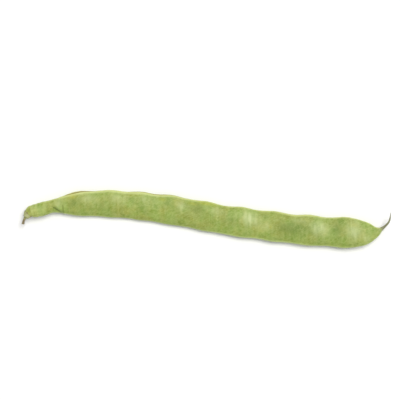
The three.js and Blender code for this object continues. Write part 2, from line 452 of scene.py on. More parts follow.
# %% Fit the pod to the CAD pod's box
PRESSED = 0.3  # how much of the lowest swellings is pressed flat by lying
cad_pod_low, cad_pod_high = (np.array(corner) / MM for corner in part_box("pod"))
lowest, highest = pod_points.min((0, 1)), pod_points.max((0, 1))
placing = (cad_pod_low + cad_pod_high - lowest - highest) / 2
placing[2] = -lowest[2] - PRESSED


def in_frame(points):
    """Points of the bean in millimetres as points of the frame in metres, none of them below the surface."""
    placed = (points + placing) * MM
    placed[..., 2] = np.maximum(placed[..., 2], 0)
    return placed


print("moved by", np.round(placing, 2), "mm")

# %% [markdown]
# ## From a grid to a closed mesh
#
# Every piece of the bean is a stack of rings, so one function makes all the meshes: quads between the rings,
# and a fan of triangles at each end to the point that closes it. The same function writes a UV map in
# metres, so that a pattern on the skin has its true size, and one named attribute for each mask that
# the skins read.

# %% Make a piece from rings
def ring_faces(rows, columns):
    """Corner numbers of the quads between the rings and of the two end fans, all facing outwards. The two
    points that close the ends are numbered after the grid's own."""
    this = np.arange(columns)
    after = np.roll(this, -1)
    base = np.arange(rows - 1)[:, None] * columns
    quads = np.stack([base + this, base + after, base + columns + after, base + columns + this], axis=-1)
    last = (rows - 1) * columns
    start_fan = np.stack([np.full(columns, rows * columns), after, this], axis=-1)
    end_fan = np.stack([np.full(columns, rows * columns + 1), last + this, last + after], axis=-1)
    return quads.reshape(-1, 4), start_fan, end_fan


def ring_uv(length, girth):
    """The UV of every face corner, in metres: the distance along the piece and the distance around it."""
    u = np.broadcast_to(length[:, None], girth.shape)
    grid = np.stack([u, girth], axis=-1) * MM
    quads = np.stack([grid[:-1, :-1], grid[:-1, 1:], grid[1:, 1:], grid[1:, :-1]], axis=2)
    start_fan = np.stack([(grid[0, :-1] + grid[0, 1:]) / 2, grid[0, 1:], grid[0, :-1]], axis=1)
    end_fan = np.stack([(grid[-1, :-1] + grid[-1, 1:]) / 2, grid[-1, :-1], grid[-1, 1:]], axis=1)
    return np.concatenate([quads.reshape(-1, 2), start_fan.reshape(-1, 2), end_fan.reshape(-1, 2)])


def piece_from_rings(name, points, closing, length, girth, masks):
    """A smooth closed piece in the frame from rings of points in millimetres, the two points that close its
    ends, and a mask for each attribute, given at each point of the grid."""
    quads, start_fan, end_fan = ring_faces(*points.shape[:2])
    everything = in_frame(np.concatenate([points.reshape(-1, 3), closing]))
    mesh = bpy.data.meshes.new(name)
    mesh.from_pydata(everything.tolist(), [], [*quads.tolist(), *start_fan.tolist(), *end_fan.tolist()])
    mesh.shade_smooth()
    layer = mesh.uv_layers.new(name="skin")
    layer.uv.foreach_set("vector", ring_uv(length, girth).astype(np.float32).ravel())
    for mask_name, mask in masks.items():
        values = np.concatenate([mask.ravel(), [mask[0].mean(), mask[-1].mean()]])
        attribute = mesh.attributes.new(mask_name, "FLOAT", "POINT")
        attribute.data.foreach_set("value", values.astype(np.float32))
    made = bpy.data.objects.new(name, mesh)
    bpy.context.scene.collection.objects.link(made)
    print(f"{name}: {len(quads) * 2 + 2 * len(start_fan)} triangles")
    return made

# %% [markdown]
# ## Patches of colour, painted highlight and painted shade
#
# A pod is paler where a seed presses its skin thin, and part of that paleness is a painted highlight where
# the seeds' bumps catch the light. One more painted highlight lies on the neck. The deeper green between the
# seeds is painted shade in the hollows there, and the skin is yellow in spots along the edge. Such patches
# could be painted on the mesh by hand. Here each one is a soft oval in a table, so it can be moved or faded
# by changing one number. They are written on the mesh as masks, next to the masks for the sutures, the
# painted shade in the folds, the neck and the dry beak.

# %% Where the patches are
# A patch is a place along X, a place towards the seed suture, its two reaches, and its strength.
# Paler where a seed presses the skin thin, and partly painted highlight where its bump catches the light.
# The first patch, on the neck, is painted highlight.
PALE_AND_HIGHLIGHT_PATCHES = [
    (-99.8, 1.2, 2.0, 3.6, 0.6),
    (-80.0, 3.6, 4.2, 3.0, 0.4),
    (-60.0, 4.2, 5.0, 3.2, 0.4),
    (-41.0, 4.6, 4.6, 3.0, 0.35),
    (-18.0, 4.6, 3.2, 3.0, 0.6),
    (6.0, 5.4, 5.0, 2.4, 0.3),
    (28.0, 3.6, 5.2, 4.6, 0.95),
    (39.0, -0.6, 3.6, 2.6, 0.35),
    (62.0, 6.2, 4.6, 1.8, 0.4),
    (74.0, 2.0, 4.8, 4.6, 0.9),
    (97.8, 2.2, 4.2, 6.4, 1.0),
    (105.5, -4.0, 3.4, 2.6, 0.5),
]
YELLOW_PATCHES = [
    (-90.5, 5.2, 3.2, 1.6, 0.8),
    (-30.0, 6.4, 2.4, 1.3, 0.6),
    (-10.0, 6.8, 2.8, 1.2, 0.4),
    (-1.0, 8.6, 6.0, 1.2, 0.6),
    (42.0, -0.4, 1.1, 1.5, 0.4),
    (97.0, 5.4, 3.2, 2.2, 0.3),
    (103.0, -5.0, 3.0, 2.2, 0.3),
]
# Painted shade in the hollows between the seeds.
SHADE_PATCHES = [
    (-89.5, 1.0, 3.4, 3.6, 0.8),
    (-70.0, -1.0, 4.0, 4.0, 0.3),
    (-27.0, 4.6, 3.0, 2.4, 0.6),
    (-7.0, 4.2, 4.4, 3.6, 0.8),
    (15.0, -0.6, 5.0, 4.0, 0.5),
    (38.5, 6.0, 4.0, 3.0, 0.4),
    (56.0, 0.0, 9.5, 5.0, 1.0),
    (86.5, 2.0, 3.4, 7.0, 0.8),
]


def patches(rows):
    """The sum over the rows of a bell along the pod times a bell across it, times the row's strength."""
    total = np.zeros_like(pod_x)
    for x, across, reach_x, reach_across, strength in rows:
        total += strength * bell(pod_x, x, reach_x) * bell(toward_suture, across, reach_across)
    return np.clip(total, 0, 1)


print(f"{len(PALE_AND_HIGHLIGHT_PATCHES)} pale, {len(YELLOW_PATCHES)} yellow and {len(SHADE_PATCHES)} deep patches")

# %% Make the pod, with the masks that its skin reads
# The pale rim along the sutures is partly the ribs' own colour and partly painted highlight.
RIM_WIDTH = 0.85  # of the pale rim at the seed suture, as a share of the width in the skin's recipe
RIM_WIDENINGS = [(0.45, -62.0, 26.0)]
BACK_RIM_NARROWING = 1.8  # how many times thinner the pale rim is at the back suture
BROWNING = 0.35  # how strongly the groove of the seed suture is browned
EXTRA_BROWNINGS = [(0.6, -87.0, 13.0), (0.3, -30.0, 14.0)]
# The fold and the pinch are darkened by painted shade.
PINCH_SHADE = 0.8  # how dark the pinch is, as a share of the fold's own dark
FOLD_SHARPNESS = 1.3  # more than 1 keeps the dark to the bottom of the fold
SEED_SIDE_FADE = (0.5, 5.0)  # from the seed suture, where its own colours start to fade and have gone
NECK_FADE = (8.0, 26.0)  # along the spine, the same for the neck's colours
DRYING_STARTS = 1.5  # how far before the beak's start the pod starts to dry
DRYING_ENDS = 6.5  # and how far past it all is dry

rim_width = RIM_WIDTH + bells(pod_x, RIM_WIDENINGS)
# Painted shade in the fold and the pinch.
fold_shade = np.clip(creases["fold"] + PINCH_SHADE * creases["pinch"], 0, 1)
pod_masks = {
    "seam": np.minimum(to_seed_suture / rim_width, BACK_RIM_NARROWING * to_back_suture) * MM,
    "seed_side": fall(to_seed_suture, *SEED_SIDE_FADE),
    "browned": BROWNING + bells(pod_x, EXTRA_BROWNINGS),
    # paler over the seeds, partly painted highlight
    "pale": patches(PALE_AND_HIGHLIGHT_PATCHES),
    "fold": fold_shade**FOLD_SHARPNESS,
    "yellow": patches(YELLOW_PATCHES),
    # painted shade between the seeds
    "deep": patches(SHADE_PATCHES),
    "dry": rise(distance, BEAK_START - DRYING_STARTS, BEAK_START + DRYING_ENDS),
    "neck": fall(distance, *NECK_FADE),
}
pod_tips = sections(np.array([0.0, spine_length]))["centre"]
pod = piece_from_rings("finished_pod", finished_pod, pod_tips, along, pod_girth, pod_masks)

# %% [markdown]
# ## The calyx
#
# The calyx is the green cup of the old flower, dried to a thin husk around the pod's neck, with a short
# tooth for each of its five sepals. It could be turned like a lathe part, but it has to follow the neck,
# which bends and widens. So its points are measured from the neck: a depth along it, and a clearance out
# from its skin. The rings run from the middle of the base up the outside, over the thin rim, down the
# inside, and across the floor.

# %% Points measured from the neck
def around_neck(depth, angle, clearance, drawn_in):
    """Points around the neck: at a depth up along it from its end, or past its end where the depth is below
    0, a clearance out from its skin, and then drawn in towards its line to a share of that."""
    neck = sections(np.maximum(depth, 0))
    neck["centre"] = neck["centre"] + neck["forward"] * np.minimum(depth, 0)[..., None]
    full = around(neck, angle, clearance, clearance)
    return neck["centre"] + (full - neck["centre"]) * drawn_in[..., None]


def ripples(turn, rows):
    """The sum of waves around a ring. Each row is a height, how many waves go round, and their phase."""
    return sum(height * np.cos(count * turn + phase) for height, count, phase in rows)


CALYX_COLUMNS = 180
CALYX_DEPTH = 1.5  # how far the cup reaches up the neck between its teeth
CALYX_TOOTH = 0.9  # how much further its longest tooth may reach
CALYX_TEETH = 5  # one for each sepal
TOOTH_SHARPNESS = 1.4  # 1 is a round tooth, and more is a narrower one
TOOTH_SHARE = 0.85  # of the longest tooth's reach that a tooth has on average
TOOTH_UNEVENNESS = [(0.15, 2, 1.0)]

cup_turn = np.linspace(-np.pi, np.pi, CALYX_COLUMNS, endpoint=False)
tooth = np.maximum(np.cos(CALYX_TEETH * cup_turn), 0) ** TOOTH_SHARPNESS
rim_depth = CALYX_DEPTH + CALYX_TOOTH * tooth * (TOOTH_SHARE + ripples(cup_turn, TOOTH_UNEVENNESS))
print(f"the calyx reaches {rim_depth.min():.1f} to {rim_depth.max():.1f} mm up the neck")

# %% Work out the calyx, ring by ring
CUP_ROWS = {"base": 18, "outside": 26, "inside": 18, "floor": 8}
CUP_RIBS = [(0.05, CALYX_TEETH, 0.0), (0.025, 4 * CALYX_TEETH, 0.6)]
CALYX_GAP = 0.3  # between the end of the neck and the calyx
CALYX_BASE = 1.0  # how far the rounded base stands out past that
CALYX_OUTSIDE = 0.6  # how far the outside stands off the neck
CALYX_INSIDE = 0.12  # and the inside
RIM_THINNING = 0.32  # how much nearer the neck the outside comes at the rim
FLOOR_GAP = 0.25  # from the end of the neck to the floor of the cup
FIRST_RING = 0.03  # the share of the base's quarter circle at which its rings start
LAST_RING = 0.05  # the share of the floor's width at which its rings end


def cup_rings(depth_share, past_end, clearance, drawn_in):
    """One ring for each row: a share of the rim's depth less a distance past the neck's end, a clearance
    with ribs on the outside, and the share it is drawn in to. Each may be one number for all the rows."""
    rows = np.broadcast_arrays(depth_share, past_end, clearance, drawn_in)
    depth_share, past_end, clearance, drawn_in = (row[:, None] for row in rows)
    ribs = np.where(clearance > CALYX_INSIDE, ripples(cup_turn, CUP_RIBS), 0)
    return around_neck(depth_share * rim_depth - past_end, cup_turn, clearance + ribs, drawn_in)


def length_over(rings):
    """The distance over the skin from the first ring to each ring, as the mean of the steps around it."""
    ring_steps = np.linalg.norm(np.diff(rings, axis=0), axis=2).mean(1)
    return np.concatenate([[0], np.cumsum(ring_steps)])


quarter = np.linspace(FIRST_RING, 1, CUP_ROWS["base"]) * np.pi / 2
up_outside = np.linspace(0, 1, CUP_ROWS["outside"] + 1)[1:]
down_inside = np.linspace(1, 0, CUP_ROWS["inside"])
across_floor = np.linspace(1, LAST_RING, CUP_ROWS["floor"])
base_drop = CALYX_GAP + CALYX_BASE * np.cos(quarter)
joining_drop = CALYX_GAP * (1 - up_outside) ** 3
thinned = CALYX_OUTSIDE - RIM_THINNING * up_outside**2
cup = np.concatenate(
    [
        cup_rings(0.0, base_drop, CALYX_OUTSIDE, np.sin(quarter)),
        cup_rings(up_outside, joining_drop, thinned, 1.0),
        cup_rings(down_inside, 0.0, CALYX_INSIDE, 1.0),
        cup_rings(0.0, FLOOR_GAP, CALYX_INSIDE, across_floor),
    ]
)

# %% Make the calyx
DRY_FROM = 0.6  # the share of the base's rings past which the husk starts to dry
DRY_INSIDE = 7  # how many rings inside the rim are as dry as the rim
DRY_BETWEEN = 0.45  # how dry the rim is between its teeth, as a share of their tips
DRYING = 1.5  # more than 1 keeps the dry part nearer to the rim

rim_ring = CUP_ROWS["base"] + CUP_ROWS["outside"] - 1
drying_rings = [DRY_FROM * CUP_ROWS["base"], rim_ring, rim_ring + DRY_INSIDE, len(cup)]
toward_rim = np.interp(np.arange(len(cup)), drying_rings, [0, 1, 1, 0])
cup_masks = {"dry": toward_rim[:, None] ** DRYING * (DRY_BETWEEN + (1 - DRY_BETWEEN) * tooth)}
neck_line = sections(np.array([0.0, 0.0]))
cup_tips = neck_line["centre"] - neck_line["forward"] * np.array([[CALYX_GAP + CALYX_BASE], [FLOOR_GAP]])
calyx = piece_from_rings("finished_calyx", cup, cup_tips, length_over(cup), girth_of(cup), cup_masks)

# %% [markdown]
# ## The stub of stem
#
# The stem leaves the base of the calyx along the line of the neck and droops. It was snapped off by hand, so
# its end is not a clean disc: the outer bark stands up as a ragged rim around a paler, sunken pith. Its body
# is ribbed along its length by dried fibres. A curve with a bevel would give it a smooth tube, but not that
# end, so it is rings too. It starts a little inside the calyx, so that the two look grown together.

# %% The stem's line and rings
STEM_RADIUS = 0.78
STEM_KNOB = 0.22  # how much wider it is where it joins the calyx and where it snapped
STEM_OUT = 1.6  # how far it first heads out, along the line of the neck
STEM_DROP = 2.9  # how far it then reaches along its bend
STEM_BEND = np.array([-0.15, -1.0, -0.15])  # the way that it bends
STEM_IN_CALYX = 0.35  # how far inside the calyx it starts

neck_end = {name: value[0] for name, value in sections(np.array([0.0])).items()}
outward = -neck_end["forward"]
stem_root = neck_end["centre"] + outward * (2 * CALYX_GAP + CALYX_BASE)
stem_corner = stem_root + outward * STEM_OUT
stem_tip = stem_corner + unit(STEM_BEND) * STEM_DROP
stem_start = stem_root - outward * STEM_IN_CALYX


def stem_line(t):
    """A curve from the start to the tip that leaves towards the corner: the three points, blended by the
    squares and the product of t and what is left of it."""
    t = t[..., None]
    return stem_start * (1 - t) ** 2 + 2 * stem_corner * t * (1 - t) + stem_tip * t**2


print(f"the stem's tip is {np.linalg.norm(stem_tip - stem_start):.1f} mm from its start")

# %% Work out the stem, with its ragged end
STEM_ROWS = 70
END_ROWS = 14
STEM_COLUMNS = 96
END_RINGS = (0.06, 0.97)  # how far in the first and the last ring over the end are, as shares
LINE_STEP = 0.01  # the stem's direction is taken between points this share of it to each side
PITH_DEPTH = 0.22
SNAP_DEPTH = 0.12  # how far the end lies behind the tip of the line
RAGGED_RIM = [(0.07, 5, 0.7), (0.04, 9, 2.0)]
PITH_SPOKES = [(0.05, 11, 0.0)]
RAGGED_FADE = (0.2, 0.6)  # the shares of the way in where the rim is still ragged and where it isn't
PITH_SINKS = (0.1, 0.4)  # where the pith starts to sink and where it is at its depth
SPOKES_AROUND = (0.5, 0.3)  # the middle and the reach of its spokes
SNAP_FROM = 0.93  # the share of the line past which the stem's end is out of true

stem_share = np.concatenate([np.linspace(0, 1, STEM_ROWS), np.ones(END_ROWS)])
end_inward = np.concatenate([np.zeros(STEM_ROWS), np.linspace(*END_RINGS, END_ROWS)])
stem_angles = np.linspace(-np.pi, np.pi, STEM_COLUMNS, endpoint=False)
t, stem_turn = np.meshgrid(stem_share, stem_angles, indexing="ij")
inward = np.broadcast_to(end_inward[:, None], t.shape)
heading = unit(stem_line(t + LINE_STEP) - stem_line(t - LINE_STEP))
sideways = unit(np.cross(UPRIGHT, heading))
upward = np.cross(heading, sideways)
fibre_ribs = ripples(stem_turn, [(0.05, 7, 2.5 * t), (0.03, 13, 1.0 - 4.0 * t)])
radius = (STEM_RADIUS + STEM_KNOB * (2 * t - 1) ** 4 + fibre_ribs) * (1 - inward)
spokes = sideways * np.cos(stem_turn)[..., None] + upward * np.sin(stem_turn)[..., None]
ragged = ripples(stem_turn, RAGGED_RIM) * fall(inward, *RAGGED_FADE)
pith_spokes = ripples(stem_turn, PITH_SPOKES) * bell(inward, *SPOKES_AROUND)
pith = pith_spokes - PITH_DEPTH * rise(inward, *PITH_SINKS)
lengthwise = rise(t, SNAP_FROM, 1.0) * (ragged - SNAP_DEPTH) + pith
stem_points = stem_line(t) + spokes * radius[..., None] + heading * lengthwise[..., None]

# %% Make the stem
stem_masks = {"pith": rise(inward, 0.12, 0.3), "dry": rise(t, 0.0, 0.7)}
stem_tips = np.stack([stem_start, stem_tip + heading[-1, 0] * lengthwise[-1].mean()])
stem_uv = (length_over(stem_points), girth_of(stem_points))
stem = piece_from_rings("finished_stem", stem_points, stem_tips, *stem_uv, stem_masks)

# %% [markdown]
# ## Shader helpers
#
# The skins are made of nodes. They could be wired by hand in the Shader Editor, but written out one by one,
# nodes and links take a line each. So a few helpers keep the recipes readable: one adds a node and fills
# its inputs with numbers or links, and the rest are short names for the nodes that are used again and
# again. Sizes are always given in metres.

# %% Add nodes with their inputs filled
def add(tree, kind, inputs=None, **settings):
    """Adds a node, changes its settings, and fills inputs, by name or number, with a value or a link."""
    node = tree.nodes.new(kind)
    for name, value in settings.items():
        setattr(node, name, value)
    for key, value in (inputs or {}).items():
        if isinstance(value, bpy.types.NodeSocket):
            tree.links.new(value, node.inputs[key])
        else:
            node.inputs[key].default_value = value
    return node


def maths(tree, operation, first, second=0.0, third=0.0):
    """One sum on numbers."""
    return add(tree, "ShaderNodeMath", {0: first, 1: second, 2: third}, operation=operation).outputs[0]


def scaled(tree, value, by, plus=0.0):
    """A value times a number, plus another."""
    return maths(tree, "MULTIPLY_ADD", value, by, plus)


def opposite(tree, value):
    """One less the value, which turns a mask round."""
    return maths(tree, "SUBTRACT", 1.0, value)


def product(tree, first, *others):
    """All the factors multiplied together."""
    for other in others:
        first = maths(tree, "MULTIPLY", first, other)
    return first


def stepped(tree, value, low, high):
    """A smooth step: 0 at or below the low value, 1 at or above the high one."""
    limits = {"Value": value, "From Min": low, "From Max": high}
    return add(tree, "ShaderNodeMapRange", limits, interpolation_type="SMOOTHSTEP").outputs[0]


def noise(tree, place, size, detail=2.0):
    """Cloudy noise from 0 to 1 whose patches are about one size across."""
    inputs = {"Vector": place, "Scale": 1 / size, "Detail": detail}
    return add(tree, "ShaderNodeTexNoise", inputs).outputs[0]


def mask(tree, name):
    """A mask that was written on the mesh."""
    return add(tree, "ShaderNodeAttribute", attribute_name=name).outputs["Fac"]

# %% Colours, and coats of one colour over another
def colour(red, green, blue):
    """A colour from its 0 to 255 values on a screen, as the linear colour that shaders use."""
    screen = np.array([red, green, blue]) / 255
    linear = np.where(screen <= 0.04045, screen / 12.92, ((screen + 0.055) / 1.055) ** 2.4)
    return (*linear.tolist(), 1.0)


def tinted(tree, under, over, share):
    """One colour laid over another, by a share from 0 to 1."""
    return add(tree, "ShaderNodeMix", {0: share, 6: under, 7: over}, data_type="RGBA").outputs[2]


def glazed(tree, ground, coats):
    """Thin coats laid over a ground in turn. Each coat is a colour, a mask and a strength."""
    for coat, where, strength in coats:
        ground = tinted(tree, ground, coat, product(tree, where, strength))
    return ground

# %% [markdown]
# ## Effects that several skins share
#
# Pod, calyx and stem are all plant tissue, so they share four effects: cloudy mottling, specks, fibres and a
# broken-up dried edge. They could be nodes copied from skin to skin, but then a change to one would miss the
# others. So each is built once as a node group with named inputs and outputs, and each skin places the ones
# that it needs with values of its own. A group gives out only masks. The shader stays in each material.

# %% Start a node group
SOCKETS = {"number": "NodeSocketFloat", "vector": "NodeSocketVector"}


def new_group(name, inputs):
    """An empty node group with named sockets. Gives its tree, the sockets to read and the mask to feed."""
    tree = bpy.data.node_groups.new(name, "ShaderNodeTree")
    for socket_name, kind in inputs.items():
        tree.interface.new_socket(socket_name, in_out="INPUT", socket_type=SOCKETS[kind])
    tree.interface.new_socket("Mask", in_out="OUTPUT", socket_type=SOCKETS["number"])
    return tree, tree.nodes.new("NodeGroupInput").outputs, tree.nodes.new("NodeGroupOutput").inputs["Mask"]


def placed(tree, group, **values):
    """Places a group in a tree, fills its inputs, and gives its mask. In a name, _ stands for a space."""
    inputs = {name.replace("_", " "): value for name, value in values.items()}
    return add(tree, "ShaderNodeGroup", inputs, node_tree=group).outputs["Mask"]


def measured_in(tree, place, size):
    """A place divided by a size, so that one unit of the result is one size long."""
    inverse = maths(tree, "DIVIDE", 1.0, size)
    return add(tree, "ShaderNodeVectorMath", {0: place, "Scale": inverse}, operation="SCALE").outputs[0]

# %% Mottling: big clouds with smaller ones on them
def make_mottling():
    """Noise of one patch size, plus less of a noise five times finer, stretched to fill 0 to 1."""
    inputs = {"Place": "vector", "Patch Size": "number", "Fineness": "number"}
    tree, given, result = new_group("mottling", inputs)
    in_patches = measured_in(tree, given["Place"], given["Patch Size"])
    broad = noise(tree, in_patches, size=1.0)
    fine = noise(tree, in_patches, size=0.2, detail=3.0)
    both = add(tree, "ShaderNodeMix", {0: given["Fineness"], 2: broad, 3: fine}).outputs[0]
    tree.links.new(stepped(tree, both, low=0.33, high=0.67), result)
    return tree

# %% Specks: small round dots in some of the cells of a scattered grid
def make_specks():
    """In each cell of a scattered grid, a dot whose size goes by chance, left out where chance is over the
    share."""
    inputs = {"Place": "vector", "Spacing": "number", "Dot Size": "number", "Share": "number"}
    tree, given, result = new_group("specks", inputs)
    in_cells = measured_in(tree, given["Place"], given["Spacing"])
    cells = add(tree, "ShaderNodeTexVoronoi", {"Vector": in_cells, "Scale": 1.0})
    chances = add(tree, "ShaderNodeSeparateColor", {0: cells.outputs["Color"]})
    away = maths(tree, "MULTIPLY", cells.outputs["Distance"], given["Spacing"])
    size = product(tree, given["Dot Size"], scaled(tree, chances.outputs[0], by=0.7, plus=0.3))
    dot = opposite(tree, stepped(tree, maths(tree, "DIVIDE", away, size), low=0.5, high=1.0))
    kept = maths(tree, "LESS_THAN", chances.outputs[1], given["Share"])
    tree.links.new(product(tree, dot, kept), result)
    return tree

# %% Fibres: noise drawn out along the piece
def make_fibres():
    """Noise on a UV place whose first direction is squeezed, so that its patches are drawn out along the
    piece."""
    inputs = {"Place": "vector", "Width": "number", "Stretch": "number"}
    tree, given, result = new_group("fibres", inputs)
    parts = add(tree, "ShaderNodeSeparateXYZ", {0: measured_in(tree, given["Place"], given["Width"])})
    drawn_out = maths(tree, "DIVIDE", parts.outputs[0], given["Stretch"])
    place = add(tree, "ShaderNodeCombineXYZ", {0: drawn_out, 1: parts.outputs[1]}).outputs[0]
    tree.links.new(stepped(tree, noise(tree, place, size=1.0, detail=3.0), low=0.3, high=0.7), result)
    return tree

# %% Dried edge: a mask whose border is broken up
def make_dried_edge():
    """A mask shifted up and down by noise before a smooth step, so that the border is ragged."""
    inputs = {"Place": "vector", "Amount": "number", "Raggedness": "number"}
    tree, given, result = new_group("dried_edge", inputs)
    swing = maths(tree, "SUBTRACT", noise(tree, given["Place"], size=0.0012, detail=4.0), 0.5)
    shifted = maths(tree, "MULTIPLY_ADD", swing, given["Raggedness"], given["Amount"])
    tree.links.new(stepped(tree, shifted, low=0.3, high=0.7), result)
    return tree


mottling = make_mottling()
specks = make_specks()
fibres = make_fibres()
dried_edge = make_dried_edge()
print("groups:", ", ".join(group.name for group in bpy.data.node_groups))

# %% [markdown]
# ## The veins of the pod
#
# Under a bean's skin runs a net of fine veins. They leave both sutures on a slant and meet in long, narrow
# meshes. Only the pod has them, so they are a plain function and not a group. The meshes are the borders
# between stretched, slanting cells. The UV map is in metres over the skin, so the net is the
# same size all over and mirrors from one cheek to the other.

# %% A net of slanting veins
VEIN_WANDERING = 1.2  # the most that a vein strays, in widths of one mesh of the net
WANDERS_PER_METRE = 300.0
VEIN_SHARE = 0.13  # how far from a cell's border a vein reaches, 1 being the size of a cell
CELL_SCATTER = 0.9  # 0 is a regular grid of cells


def vein_net(tree, skin_place, mesh_width, mesh_length, slant):
    """The border lines of cells that are stretched and turned by the slant, wandering a little. It is 1 on a
    vein."""
    parts = add(tree, "ShaderNodeSeparateXYZ", {0: skin_place})
    mirrored = maths(tree, "ABSOLUTE", parts.outputs[1])
    place = add(tree, "ShaderNodeCombineXYZ", {0: parts.outputs[0], 1: mirrored}).outputs[0]
    wander = {"Vector": place, "Scale": WANDERS_PER_METRE, "Detail": 2.0}
    stray = add(tree, "ShaderNodeTexNoise", wander).outputs[1]
    reach = (mesh_width * VEIN_WANDERING,) * 3
    moved = add(tree, "ShaderNodeVectorMath", {0: stray, 1: reach, 2: place}, operation="MULTIPLY_ADD")
    turned = add(tree, "ShaderNodeMapping", {"Vector": moved.outputs[0], "Rotation": (0, 0, slant)})
    squeeze = (1 / mesh_length, 1 / mesh_width, 1.0)
    squeezed = add(tree, "ShaderNodeVectorMath", {0: turned.outputs[0], 1: squeeze}, operation="MULTIPLY")
    cells = {"Vector": squeezed.outputs[0], "Scale": 1.0, "Randomness": CELL_SCATTER}
    border = add(tree, "ShaderNodeTexVoronoi", cells, feature="DISTANCE_TO_EDGE").outputs["Distance"]
    return opposite(tree, stepped(tree, border, low=0.0, high=VEIN_SHARE))

# %% [markdown]
# ## The pod's skin
#
# A flat bean is a soft yellow green. It is mottled in clouds and bands, paler over its seeds, and pale along
# both sutures, and the groove that the seeds hang under is browned in places. Part of the paleness over the
# seeds and along the sutures is painted highlight, and the deeper green between the seeds and in the folds
# is painted shade. An image could give it all of this, but it would blur in a close view. So the colour is
# built up like glazes, one thin coat over another, each with a mask of its own. The shine is a soft satin: a
# fairly rough surface with a little sheen, because the skin has a down too fine to see.

# %% Colours of the pod
DEEP_GREEN = colour(88, 114, 22)
LEAF_GREEN = colour(141, 157, 54)
OLIVE_GREEN = colour(160, 158, 64)
FRESH_GREEN = colour(120, 154, 46)
PALE_GREEN = colour(184, 196, 118)
# Paler skin over the seeds, partly painted highlight.
SEED_PALE_AND_HIGHLIGHT = colour(202, 212, 156)
# The pale rim along the sutures, partly painted highlight; the silver green at the back suture is painted
# highlight.
RIM_GREEN_AND_HIGHLIGHT = colour(204, 212, 138)
SILVER_HIGHLIGHT = colour(184, 198, 130)
# Painted shade in the folds.
SHADE_OLIVE = colour(92, 102, 34)
WARM_YELLOW = colour(186, 180, 60)
SEAM_BROWN = colour(132, 112, 54)
HUSK_GREY = colour(156, 160, 124)
HUSK_BROWN = colour(112, 108, 76)
SHEEN_GREEN = colour(214, 224, 170)
BANDS_PER_METRE = (450.0, 90.0, 90.0)  # along X, Y and Z


def skin_places(tree):
    """Where a point is in the frame, and where it is on the skin, both in metres."""
    place = add(tree, "ShaderNodeTexCoord").outputs["Object"]
    on_skin = add(tree, "ShaderNodeUVMap", uv_map="skin").outputs[0]
    return place, on_skin


def cross_bands(tree, place):
    """Noise squeezed along the pod, so that its patches are soft bands across it."""
    squeezed = add(tree, "ShaderNodeVectorMath", {0: place, 1: BANDS_PER_METRE}, operation="MULTIPLY")
    return stepped(tree, noise(tree, squeezed.outputs[0], size=1.0), low=0.4, high=0.65)

# %% Layer the pod's colour
def pod_greens(tree, place, veins):
    """Deep green to leaf green by clouds, then grain of two sizes, veins and bands, then painted shade
    between the seeds and pale patches over them that are partly painted highlight.
    """
    clouds = placed(tree, mottling, Place=place, Patch_Size=0.013, Fineness=0.45)
    coarse = placed(tree, mottling, Place=place, Patch_Size=0.0042, Fineness=0.4)
    grain = placed(tree, mottling, Place=place, Patch_Size=0.0016, Fineness=0.4)
    bands = cross_bands(tree, place)
    hue = stepped(tree, noise(tree, place, size=0.009), low=0.35, high=0.65)
    leaf = tinted(tree, LEAF_GREEN, tinted(tree, OLIVE_GREEN, FRESH_GREEN, hue), share=0.7)
    green = tinted(tree, DEEP_GREEN, leaf, scaled(tree, clouds, by=0.5, plus=0.5))
    coats = [
        (PALE_GREEN, coarse, 0.26),
        (DEEP_GREEN, opposite(tree, grain), 0.23),
        (PALE_GREEN, grain, 0.21),
        (PALE_GREEN, veins, 0.25),
        (PALE_GREEN, bands, 0.16),
        # painted shade between the seeds
        (DEEP_GREEN, mask(tree, "deep"), scaled(tree, coarse, by=-0.2, plus=0.68)),
        # paler over the seeds, partly painted highlight
        (SEED_PALE_AND_HIGHLIGHT, mask(tree, "pale"), scaled(tree, bands, by=0.3, plus=0.45)),
    ]
    return glazed(tree, green, coats)


def pod_sutures(tree, place, green):
    """A pale rim beside both sutures, partly paler ribs and partly painted highlight, silvery at the back
    suture, and a broken brown line in the groove that the seeds hang under.
    """
    to_seam = mask(tree, "seam")
    swing = maths(tree, "SUBTRACT", noise(tree, place, size=0.004), 0.5)
    wavy = scaled(tree, swing, by=0.0012, plus=to_seam)
    near_seam = opposite(tree, stepped(tree, wavy, low=0.0008, high=0.0026))
    # The rim is partly paler ribs and partly painted highlight, silvery at the back suture.
    rim_and_highlight = tinted(tree, SILVER_HIGHLIGHT, RIM_GREEN_AND_HIGHLIGHT, mask(tree, "seed_side"))
    groove = opposite(tree, stepped(tree, to_seam, low=0.0002, high=0.0006))
    ageing = scaled(tree, mask(tree, "browned"), by=0.3, plus=noise(tree, place, size=0.011, detail=3.0))
    dashes = stepped(tree, ageing, low=0.48, high=0.7)
    coats = [
        (rim_and_highlight, near_seam, scaled(tree, mask(tree, "neck"), by=-0.45, plus=0.85)),
        (SEAM_BROWN, product(tree, groove, dashes, mask(tree, "seed_side")), mask(tree, "browned")),
    ]
    return glazed(tree, green, coats)


def pod_marks(tree, place, green, dots):
    """Yellow where the sun caught it, painted olive shade in the folds, pale pores all over, and a few brown
    scuffs.
    """
    flecks = placed(tree, mottling, Place=place, Patch_Size=0.003, Fineness=0.5)
    scuffs = placed(tree, specks, Place=place, Spacing=0.009, Dot_Size=0.0007, Share=0.3)
    coats = [
        (WARM_YELLOW, mask(tree, "yellow"), scaled(tree, flecks, by=0.5, plus=0.35)),
        # painted shade in the folds
        (SHADE_OLIVE, mask(tree, "fold"), 0.6),
        (PALE_GREEN, dots, 0.5),
        (SEAM_BROWN, scuffs, 0.4),
    ]
    return glazed(tree, green, coats)


